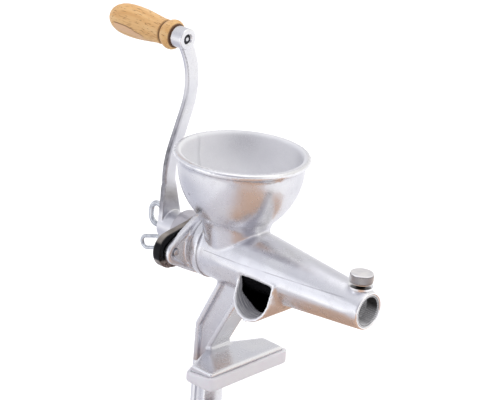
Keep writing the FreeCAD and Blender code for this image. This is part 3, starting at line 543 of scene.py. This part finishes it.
# The strainer is painted near black, as the shade inside the barrel.
shaded_strainer = plated("strainer in shade", (0.008, 0.008, 0.009), (0.004, 0.004, 0.005), 0.60, worn=0.0)
clamp_steel = plated("clamp steel", (0.58, 0.57, 0.57), (0.36, 0.35, 0.35), 0.30, (1, 1, 0.1), 0.00004)
worm_iron = plated("worm iron", (0.70, 0.70, 0.73), (0.50, 0.50, 0.53), 0.38, wear=0.00008)
sleeve_steel = plated("sleeve steel", (0.96, 0.96, 0.96), (0.90, 0.90, 0.91), 0.35, metallic=0.0)
bush_bronze = plated("bush bronze", (0.62, 0.42, 0.20), (0.42, 0.27, 0.12), 0.28, (0.1, 1, 1))

# %% [markdown]
# The grip's pin ends in a small bright centre, a painted highlight, with a dark ring round it. The ring is a mix by
# the distance from the pin's axis, so it needs no mesh of its own.

# %% Pin
grip_axis = 0.2488
tree = new_tree("pin steel")
reach = distance(tree, (0, 0, grip_axis), (0, 1, 1))
# Painted highlight in the middle of the dark pin end.
colour = mixed(tree, eased(tree, reach, 0.0012, 0.0017), (0.66, 0.66, 0.68), (0.035, 0.035, 0.038))
pin_steel = finish("pin steel", {"Base Color": colour}, Metallic=1.0, Roughness=0.35)

# %% [markdown]
# The boot on the jaw is a soft milky plastic. Light enters it a little way, so it gets some subsurface
# scattering, with faint lavender clouds, a scuffed lower edge and a fine moulded grain. The seal is rubber.

# %% Plastic and rubber
tree = new_tree("white plastic")
cloud = speckle(tree, 60, 4)
grain = speckle(tree, 1800, 3)
height = add(tree, "SeparateXYZ", {"Vector": placed(tree)}).outputs["Z"]
foot = add(tree, "MapRange", {"Value": height, "From Min": 0.0, "From Max": 0.004}).outputs["Result"]
colour = ramp(tree, cloud, [(0.30, (0.90, 0.87, 0.91)), (0.70, (0.95, 0.93, 0.95))])
low_edge = ramp(tree, foot, [(0.0, 0.6), (1.0, 0.0)])
scuff = mixed(tree, 1.0, low_edge, ramp(tree, speckle(tree, 300, 4), [(0.45, 0.0), (0.65, 1.0)]), "MULTIPLY")
colour = mixed(tree, scuff, colour, (0.70, 0.66, 0.68))
gloss = ramp(tree, cloud, [(0.3, 0.46), (0.7, 0.38)])
skin = relief(tree, grain, 0.00003, relief(tree, cloud, 0.0002))
white_plastic = finish("white plastic", {"Base Color": colour, "Roughness": gloss, "Normal": skin},
                       Subsurface_Weight=0.25, Subsurface_Scale=0.002, Subsurface_Radius=(1.0, 0.8, 0.9))

tree = new_tree("seal rubber")
grain = speckle(tree, 1200, 3)
colour = ramp(tree, grain, [(0.3, (0.02, 0.02, 0.022)), (0.7, (0.045, 0.045, 0.048))])
seal_rubber = finish("seal rubber", {"Base Color": colour, "Normal": relief(tree, grain, 0.00005)}, Roughness=0.6)

# %% [markdown]
# A casting has no sharp edges: the mould rounds the outer ones and fills the inner ones. The CAD solid has
# crisp edges, so its triangles are joined, wrapped in an even skin by the voxel remesher, and relaxed a few
# times. A bevel would need every edge picked by hand. This way softens them all and leaves the faces in place.

# %% Soft skin over a solid
def merged_copy(node):
    """Closed mesh of one solid, its loose triangles joined."""
    mesh = bmesh.new()
    mesh.from_mesh(nodes[node].data)
    bmesh.ops.remove_doubles(mesh, verts=mesh.verts, dist=2e-6)
    return mesh


def soft_skin(mesh, voxel, rounds):
    """Even mesh over a closed one, relaxed so many times."""
    blank = bpy.data.objects.new("blank", bpy.data.meshes.new("blank"))
    mesh.to_mesh(blank.data)
    mesh.free()
    scene.collection.objects.link(blank)
    wrap = blank.modifiers.new("wrap", "REMESH")
    wrap.mode = "VOXEL"
    wrap.voxel_size = voxel
    skin = bmesh.new()
    skin.from_object(blank, bpy.context.evaluated_depsgraph_get())
    bpy.data.objects.remove(blank)
    for _ in range(rounds):
        bmesh.ops.smooth_vert(skin, verts=skin.verts, factor=0.5, use_axis_x=True, use_axis_y=True, use_axis_z=True)
    return skin


def as_piece(mesh, name, body, slot, material, *replaced):
    """Object from a mesh, smooth, riding on its body and standing for its solids."""
    piece = bpy.data.objects.new(name, bpy.data.meshes.new(name))
    for face in mesh.faces:
        face.smooth = True
    mesh.to_mesh(piece.data)
    mesh.free()
    piece.data.materials.append(material)
    scene.collection.objects.link(piece)
    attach(piece, body)
    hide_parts(*replaced)
    low, high = (Vector(corner) for corner in (piece.bound_box[0], piece.bound_box[6]))
    print(name, len(piece.data.polygons), "faces, size", tuple(round(side, 4) for side in high - low))
    return piece


# %% [markdown]
# The finish has to know which part of the casting is which. The CAD faces are gone after the remesh, so each
# point is asked where it lies: in the hopper's bowl, in the spout's channel, on its floor, or on the barrel's
# tapered bore. Each answer is a share from 0 to 1, which keeps the borders soft.

# %% Parts of the casting
def smooth_step(value, low, high):
    """Share from 0 to 1 between two values, eased at both ends."""
    share = min(max((value - low) / (high - low), 0.0), 1.0)
    return share * share * (3 - 2 * share)


bore_start, bore_length = 0.028, 0.087
bore_radius, bore_narrowing = 0.0212, 0.0088
flange_face = -0.0296
nozzle_end = 0.1340
spout_middle = 0.044
spout_round = 0.0816
spout_inner = 0.0154
spout_floor_end = -0.0200


def in_bowl(place, away):
    """Share of a place on the hopper's inner wall, which faces its axis."""
    out = Vector((place.x, place.y, 0))
    facing = away.dot(out.normalized())
    share = smooth_step(-facing, 0.0, 0.25) * smooth_step(place.z, 0.116, 0.122)
    return share * smooth_step(-out.length, -0.0495, -0.0485)


def in_spout(place):
    """Share of a place inside the spout's channel."""
    drop = min(place.z - spout_round, 0)
    reach = math.hypot(place.x - spout_middle, drop)
    return smooth_step(-reach, -spout_inner - 0.0011, -spout_inner - 0.0004) * (place.z < barrel_height - 0.001)


def behind_floor(place):
    """Share of a place behind the spout's tooled floor, whose end slants."""
    floor_end = spout_floor_end + 0.006 * smooth_step(-place.z, -0.082, -0.068)
    return smooth_step(place.y, floor_end - 0.0003, floor_end + 0.0003)


def in_bore(place):
    """Share of a place on the barrel's bore."""
    reach = math.hypot(place.y, place.z - barrel_height)
    bore = bore_radius - bore_narrowing * min(max((place.x - bore_start) / bore_length, 0.0), 1.0)
    return smooth_step(-reach, -bore - 0.0008, -bore - 0.0002) * (-0.034 < place.x < 0.116)


def on_flanks(place):
    """Share of a place on the barrel's two flanks."""
    return (abs(place.y) > 0.010) * smooth_step(place.x, -0.005, 0.010) * smooth_step(-place.x, -0.131, -0.120)


# %% [markdown]
# The main casting. After the skin is made, each point moves by a few hundredths of a millimetre along its
# normal, because a casting is never quite flat. Then three features are raised: the parting line that two
# mould halves leave inside the hopper, and the low ridge on both sides of the barrel. The masks for the
# finish are painted in the same pass, with a dull patch and painted shade in the bowl and a scuff on its rim.

# %% Casting
seam_height, seam_half_width, seam_place = 0.0008, 0.0009, 0.0006
ridge_height, ridge_half_width = 0.0008, 0.006
dull_back = Vector((-0.0305, 0.0344, 0.172))
shaded_side_wall = Vector((0.0340, 0.0300, 0.168))
scuff_middle = Vector((-0.0260, -0.0450, 0.176))

casting = soft_skin(merged_copy("body_casting"), 0.00118, 2)
masks = {name: casting.verts.layers.float.new(name) for name in ("inside", "sandy", "ground", "raw", "turned", "stain")}


def stained_and_shaded(place, bowl, seam_line):
    """Share of stain and painted shade: a dull patch at the bowl's back, painted shade on its right wall, the seam in
    the bowl, and a scuff on the rim.
    """
    dull = 0.50 * math.exp(-((place - dull_back).length / 0.017) ** 2)
    # Painted shade on the bowl's right wall.
    dull += 0.75 * math.exp(-((place - shaded_side_wall).length / 0.020) ** 2)
    scuffed = smooth_step(math.hypot(place.x, place.y), 0.0490, 0.0500)
    scuffed *= smooth_step(-(place - scuff_middle).length, -0.050, -0.030)
    scuffed *= smooth_step(noise.noise(place * 260), 0.05, 0.35) * smooth_step(place.z, 0.172, 0.174)
    return max(bowl * dull, 0.5 * seam_line, 0.9 * scuffed)


for point in casting.verts:
    place, away = point.co.copy(), point.normal.copy()
    bowl, channel, deep = in_bowl(place, away), in_spout(place), behind_floor(place)
    seam_line = bowl * math.exp(-((place.y - seam_place) / seam_half_width) ** 2) * (place.x < 0)
    ground = smooth_step(place.x, nozzle_end - 0.0005, nozzle_end)
    # The bore and the spout's channel behind its floor are painted black as shade.
    raw = max(channel * deep, in_bore(place))
    point[masks["inside"]] = bowl
    point[masks["sandy"]] = smooth_step(away.x, 0.8, 0.95) * smooth_step(-abs(place.x - flange_face), -0.0010, -0.0006)
    point[masks["ground"]] = ground
    point[masks["raw"]] = raw
    point[masks["turned"]] = channel * (1 - deep)
    point[masks["stain"]] = stained_and_shaded(place, bowl, seam_line)
    wave = 0.00009 * noise.noise(place * 70) + 0.00004 * noise.noise(place * 210)
    ridge = on_flanks(place) * (1 - max(channel, raw)) * max(0.0, 1 - abs(place.z - barrel_height) / ridge_half_width)
    point.co = place + away * (wave * (1 - ground) + seam_height * seam_line + ridge_height * ridge)
as_piece(casting, "casting", "frame", "tinned_casting", tin_skin, "body_casting")

# %% [markdown]
# The crank, the dark cover and the plastic boot are made in the same way, with a finer skin, because they are
# smaller and their edges are tighter. A mask paints shade on the crank: the narrow sides of its arm are darker
# and mottled, and the hub's face against the cover is dark as the cover's shadow.

# %% Crank, cover and boot
def wavy(mesh, amount, per_metre):
    """Small uneven swell along the normals."""
    moves = [(point, point.normal * amount * noise.noise(point.co * per_metre)) for point in mesh.verts]
    for point, move in moves:
        point.co += move
    return mesh


crank = wavy(soft_skin(merged_copy("crank_arm"), 0.00055, 4), 0.00008, 110)
cast = crank.verts.layers.float.new("cast")
for point in crank.verts:
    # Painted shade on the arm's narrow sides, and a painted shadow by the cover on the hub.
    narrow = smooth_step(-point.normal.y, 0.45, 0.75)
    on_arm = smooth_step(point.co.z, 0.106, 0.114) * smooth_step(-point.co.z, -0.236, -0.150)
    cover_shadow = smooth_step(point.co.x, -0.0580, -0.0568) * (point.co.z < 0.112)
    point[cast] = max(0.9 * narrow * on_arm, cover_shadow)
as_piece(crank, "crank", "crank", "tinned_crank", crank_tin, "crank_arm")
cover = wavy(soft_skin(merged_copy("rear_cover"), 0.00055, 4), 0.00012, 140)
as_piece(cover, "cover", "frame", "dark_casting", dark_casting, "rear_cover")
boot = wavy(soft_skin(merged_copy("jaw_cap"), 0.0006, 5), 0.00012, 60)
as_piece(boot, "boot", "frame", "white_plastic", white_plastic, "jaw_cap")

# %% [markdown]
# The finger loops are bent from wire and the ridged sleeve is turned, all with small soft edges. A fine skin
# gives them those. Shade is painted in the sleeve's valleys, and its far wall near the mouth gets a painted dark
# reflection of the deep bore.

# %% Eye screws and sleeve
sleeve_start = 0.1
sleeve_radius = 0.0116


def sleeve_shade(place):
    """Painted shade in the sleeve's valleys and a painted dark reflection near its mouth, and none on other pieces."""
    reach = math.hypot(place.y, place.z - barrel_height)
    if place.x < sleeve_start or reach > sleeve_radius:
        return 0.0
    # Painted dark reflection on the far wall near the mouth.
    dark_reflection = 0.36 + 0.20 * smooth_step(place.z, barrel_height - 0.006, barrel_height + 0.002)
    dark_reflection *= smooth_step(place.x, 0.1215, 0.1235) * smooth_step(-place.x, -0.1332, -0.1322)
    dark_reflection *= smooth_step(place.y, -0.003, 0.003)
    return max(dark_reflection, 0.5 * smooth_step(reach, 0.0107, 0.0110))


hardware = [
    ("cover_eye_screw_near", "frame", "plated_wire", wire_zinc, 0.0003),
    ("cover_eye_screw_far", "frame", "plated_wire", wire_zinc, 0.0003),
    ("crank_eye_screw", "crank", "plated_wire", wire_zinc, 0.0003),
    ("nozzle_liner", "frame", "bright_steel", sleeve_steel, 0.00022),
]
for node, body, slot, material, voxel in hardware:
    skin = soft_skin(merged_copy(node), voxel, 2)
    dark_grooves_and_shade = skin.verts.layers.float.new("dark_grooves_and_shade")
    for point in skin.verts:
        point[dark_grooves_and_shade] = sleeve_shade(point.co)
    as_piece(skin, "soft_" + node, body, slot, material, node)

# %% [markdown]
# The grip is turned on a lathe, so it is a spun profile: a bead against the crank, a groove, a neck, a belly and
# a round butt. Few profile points and a smooth subdivision give a flowing curve. The profile is written in
# millimetres, as on a drawing.

# %% Turned grip
def spun(mesh, places, centre, axis, steps):
    """Profile turned once round an axis."""
    points = [mesh.verts.new(place) for place in places]
    chain = [mesh.edges.new(pair) for pair in zip(points, points[1:])]
    bmesh.ops.spin(mesh, geom=points + chain, cent=centre, axis=axis, dvec=(0, 0, 0), angle=2 * math.pi, steps=steps,
                   use_merge=True, use_normal_flip=False, use_duplicate=False)


grip_front = -0.076
grip_steps = 64
grip_profile = [(0.0, 3.25), (0.0, 8.2), (0.25, 8.8), (1.4, 10.2), (2.8, 11.2), (4.4, 11.6), (6.0, 11.4),
                (7.6, 10.8), (9.2, 9.9), (10.2, 9.3), (10.7, 8.9), (11.6, 8.95), (12.3, 9.7), (13.0, 9.85),
                (17.0, 9.95), (22.0, 10.5), (28.0, 11.2), (35.0, 12.0), (42.0, 12.45), (49.0, 12.5), (54.5, 12.2),
                (59.2, 11.5), (63.0, 10.3), (66.3, 8.6), (68.9, 6.4), (70.6, 4.0), (71.3, 1.8), (71.45, 0.0)]
turned = bmesh.new()
grip_places = [(grip_front - back / 1000, 0, grip_axis + radius / 1000) for back, radius in grip_profile]
spun(turned, grip_places, (0, 0, grip_axis), (1, 0, 0), grip_steps)
bmesh.ops.remove_doubles(turned, verts=turned.verts, dist=1e-6)
bmesh.ops.recalc_face_normals(turned, faces=turned.faces)
bmesh.ops.subdivide_edges(turned, edges=turned.edges, cuts=3, smooth=1.0, use_grid_fill=True, use_only_quads=False)
print("grip mesh", len(turned.faces), "faces")

# %% [markdown]
# The wood has split along the belly. The groove is painted darker, and the front face is painted dark as the
# shadow in the gap against the crank's boss. The split is pressed into the finished mesh along a path of stations
# and angles, with a shallow step of paler wood below it. Masks for the colour are painted in the same pass.

# %% Split, dark groove and gap shadow
groove_place, groove_half_width = 0.0111, 0.0009
split_depth, step_depth = 0.0005, 0.00025
split_path = [(-0.137, 7.0), (-0.129, 5.0), (-0.121, 5.0), (-0.115, 9.5), (-0.109, 21.0), (-0.103, 32.0)]


def split_angle(x):
    """Angle of the split below the grip's side at a station, in degrees."""
    for (start, first), (end, second) in zip(split_path, split_path[1:]):
        if start <= x <= end:
            return first + (second - first) * smooth_step(x, start, end)
    return None


split = turned.verts.layers.float.new("split")
sapwood = turned.verts.layers.float.new("sapwood")
dark_groove_and_gap_shadow = turned.verts.layers.float.new("dark_groove_and_gap_shadow")
for point in turned.verts:
    height = point.co.z - grip_axis
    radius = math.hypot(point.co.y, height)
    back = grip_front - point.co.x
    in_groove = math.exp(-((back - groove_place) / groove_half_width) ** 2)
    # A darker groove, and a painted shadow on the front face in the gap against the crank's boss.
    point[dark_groove_and_gap_shadow] = max(in_groove, smooth_step(-back, -0.0011, -0.0003))
    middle = split_angle(point.co.x)
    if middle is None or radius < 0.003:
        continue
    angle = math.degrees(math.atan2(-height, -point.co.y))
    off = math.radians(angle - middle) * radius
    fade = smooth_step(point.co.x, -0.1372, -0.132) * smooth_step(-point.co.x, 0.1025, 0.106)
    point[split] = fade * math.exp(-(off / 0.0004) ** 2)
    point[sapwood] = 0.8 * fade * smooth_step(off, 0.0, 0.0008) * smooth_step(-off, -0.009, -0.005)
    inward = Vector((0, -point.co.y, -height)) / radius
    point.co += inward * (split_depth * point[split] + step_depth * point[sapwood])
as_piece(turned, "grip", "grip", "grip_wood", beech, "wooden_grip")

# %% [markdown]
# The thumb screw's head is diamond knurled. A lathe presses two sets of slanting grooves into it, which leaves
# rows of small pyramids. Here a plain band of squares is poked, the old edges are dissolved so that only
# diamonds remain, and each diamond is poked again, outwards. The grooves are painted darker than the tips.

# %% Knurled band
low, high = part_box("pressure_screw")
screw_x = (low.x + high.x) / 2
head_radius = (high.x - low.x) / 2
head_top = high.z
head_length = 0.0078
plain_edge = 0.0009
knurl_rows = 3
knurl_count = 28
knurl_depth = 0.0006
head_low = head_top - head_length
side_radius = head_radius - knurl_depth
knurl_low, knurl_high = head_low + plain_edge, head_top - plain_edge
row_height = (knurl_high - knurl_low) / knurl_rows
screw_axis = ((screw_x, 0, 0), (0, 0, 1))

knob = bmesh.new()
column = [(screw_x + side_radius, 0, knurl_low + row_height * row) for row in range(knurl_rows + 1)]
spun(knob, column, *screw_axis, knurl_count)
bmesh.ops.recalc_face_normals(knob, faces=knob.faces)
if sum(face.normal.x * (face.calc_center_median().x - screw_x) for face in knob.faces) < 0:
    bmesh.ops.reverse_faces(knob, faces=knob.faces)
squares = [edge for edge in knob.edges if len(edge.link_faces) == 2]
bmesh.ops.poke(knob, faces=knob.faces, offset=0.0)
bmesh.ops.dissolve_edges(knob, edges=squares, use_verts=False)
diamonds = [face for face in knob.faces if len(face.verts) == 4]
dark_grooves_and_shade = knob.verts.layers.float.new("dark_grooves_and_shade")
frost = knob.verts.layers.float.new("frost")
for point in knob.verts:
    point[dark_grooves_and_shade] = 0.5
tips = bmesh.ops.poke(knob, faces=diamonds, offset=knurl_depth)["verts"]
for point in tips:
    point[dark_grooves_and_shade] = 0.0
print("knurl", len(knob.faces), "faces, head from", head_low, "to", head_top)

# %% [markdown]
# The rest of the thumb screw is turned: a flat frosted top, a short neck and a plain stem. Two profiles spun round
# the same axis close the band above and below. Sharp edges are marked at the end, so that the pyramids stay crisp.

# %% Thumb screw
neck_radius, neck_length = 0.0038, 0.0022
neck_foot = head_low - neck_length
stem_radius = 0.0030
overlap = 0.00005
round_steps = 84
cap_profile = [(0.0, head_top), (0.0074, head_top), (0.0078, head_top - 0.00005), (0.0084, head_top - 0.0003),
               (side_radius + overlap, knurl_high)]
foot_profile = [(side_radius + overlap, knurl_low), (0.0084, head_low + 0.0003), (0.0078, head_low),
                (neck_radius, head_low), (neck_radius - 0.0004, head_low - 0.0009),
                (neck_radius, neck_foot + 0.0002), (stem_radius, neck_foot), (stem_radius, low.z + 0.0006),
                (stem_radius - 0.0006, low.z), (0.0, low.z)]
for profile in (cap_profile, foot_profile):
    spun(knob, [(screw_x + radius, 0, z) for radius, z in profile], *screw_axis, round_steps)
bmesh.ops.remove_doubles(knob, verts=knob.verts, dist=1e-6)
bmesh.ops.recalc_face_normals(knob, faces=knob.faces)
for point in knob.verts:
    point[frost] = float(point.co.z > head_top - 0.0001)
    # Painted shadow under the head: its underside, the neck and the stem.
    if point.co.z < head_low + 0.0002:
        point[dark_grooves_and_shade] = 0.9
thumb_screw = as_piece(knob, "thumb_screw", "pressure_screw", "nickel", nickel, "pressure_screw")
thumb_screw.data.set_sharp_from_angle(angle=math.radians(28))

# %% [markdown]
# The clamp screw has a coarse square-cut thread. A thread is a profile that turns and climbs at once, which is
# what a spin with a step upwards does. The profile covers one pitch, so each turn joins the one below. The
# cross-drilled head is kept from the solid: a plane cuts the plain shank off a copy.

# %% Clamp screw
def cut(mesh, height, **cleared):
    """Mesh cut by a level plane, with one side cleared."""
    everything = mesh.verts[:] + mesh.edges[:] + mesh.faces[:]
    bmesh.ops.bisect_plane(mesh, geom=everything, dist=1e-7, plane_co=(0, 0, height), plane_no=(0, 0, 1), **cleared)


low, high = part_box("clamp_screw")
clamp_x = (low.x + high.x) / 2
head_height = 0.0172
depth_in_head = 0.001
shank_foot = low.z + head_height
pitch = 0.004
thread = [(5.1, 0.0), (5.1, 1.15), (5.35, 1.4), (5.75, 1.6), (5.95, 1.85), (5.95, 3.3), (5.75, 3.55), (5.35, 3.75),
          (5.1, 4.0)]
turn_steps = 40
turns = math.ceil((high.z - shank_foot) / pitch) + 2
spindle = bmesh.new()
thread_places = [(clamp_x + radius / 1000, 0, shank_foot - pitch + rise / 1000) for radius, rise in thread]
points = [spindle.verts.new(place) for place in thread_places]
chain = [spindle.edges.new(pair) for pair in zip(points, points[1:])]
bmesh.ops.spin(spindle, geom=points + chain, cent=(clamp_x, 0, 0), axis=(0, 0, 1), dvec=(0, 0, pitch / turn_steps),
               angle=2 * math.pi * turns, steps=turn_steps * turns, use_merge=False, use_normal_flip=False,
               use_duplicate=False)
bmesh.ops.remove_doubles(spindle, verts=spindle.verts, dist=1e-6)
for height, below in ((high.z, False), (shank_foot - depth_in_head, True)):
    cut(spindle, height, clear_outer=not below, clear_inner=below)
    bmesh.ops.holes_fill(spindle, edges=[edge for edge in spindle.edges if edge.is_boundary], sides=0)
bmesh.ops.recalc_face_normals(spindle, faces=spindle.faces)
head = merged_copy("clamp_screw")
cut(head, shank_foot, clear_outer=True)
head_mesh = bpy.data.meshes.new("clamp head")
head.to_mesh(head_mesh)
head.free()
spindle.from_mesh(head_mesh)
clamp_screw = as_piece(spindle, "threaded_clamp_screw", "clamp_screw", "clamp_steel", clamp_steel, "clamp_screw")
clamp_screw.data.set_sharp_from_angle(angle=math.radians(40))

# %% [markdown]
# The remaining solids are hidden in the barrel or simple turned steel in the clamp. They keep their own meshes
# and take a finish each.

# %% Finishes for the remaining solids
plain_finishes = {
    "cover_washers": bright_steel, "crank_washer": bright_steel, "grip_pin": pin_steel,
    "pressure_screw_washer": nickel, "auger": worm_iron, "bearing_bush": bush_bronze,
    "shaft_seal": seal_rubber, "thrust_washer": bright_steel, "juice_strainer": shaded_strainer,
    "clamp_pad": clamp_steel, "clamp_pad_cap": white_plastic, "pad_rivet": clamp_steel,
    "clamp_bar": clamp_steel, "clamp_bar_knobs": clamp_steel,
}
for node, material in plain_finishes.items():
    nodes[node].data.materials.clear()
    nodes[node].data.materials.append(material)
print("finished in place", len(plain_finishes))
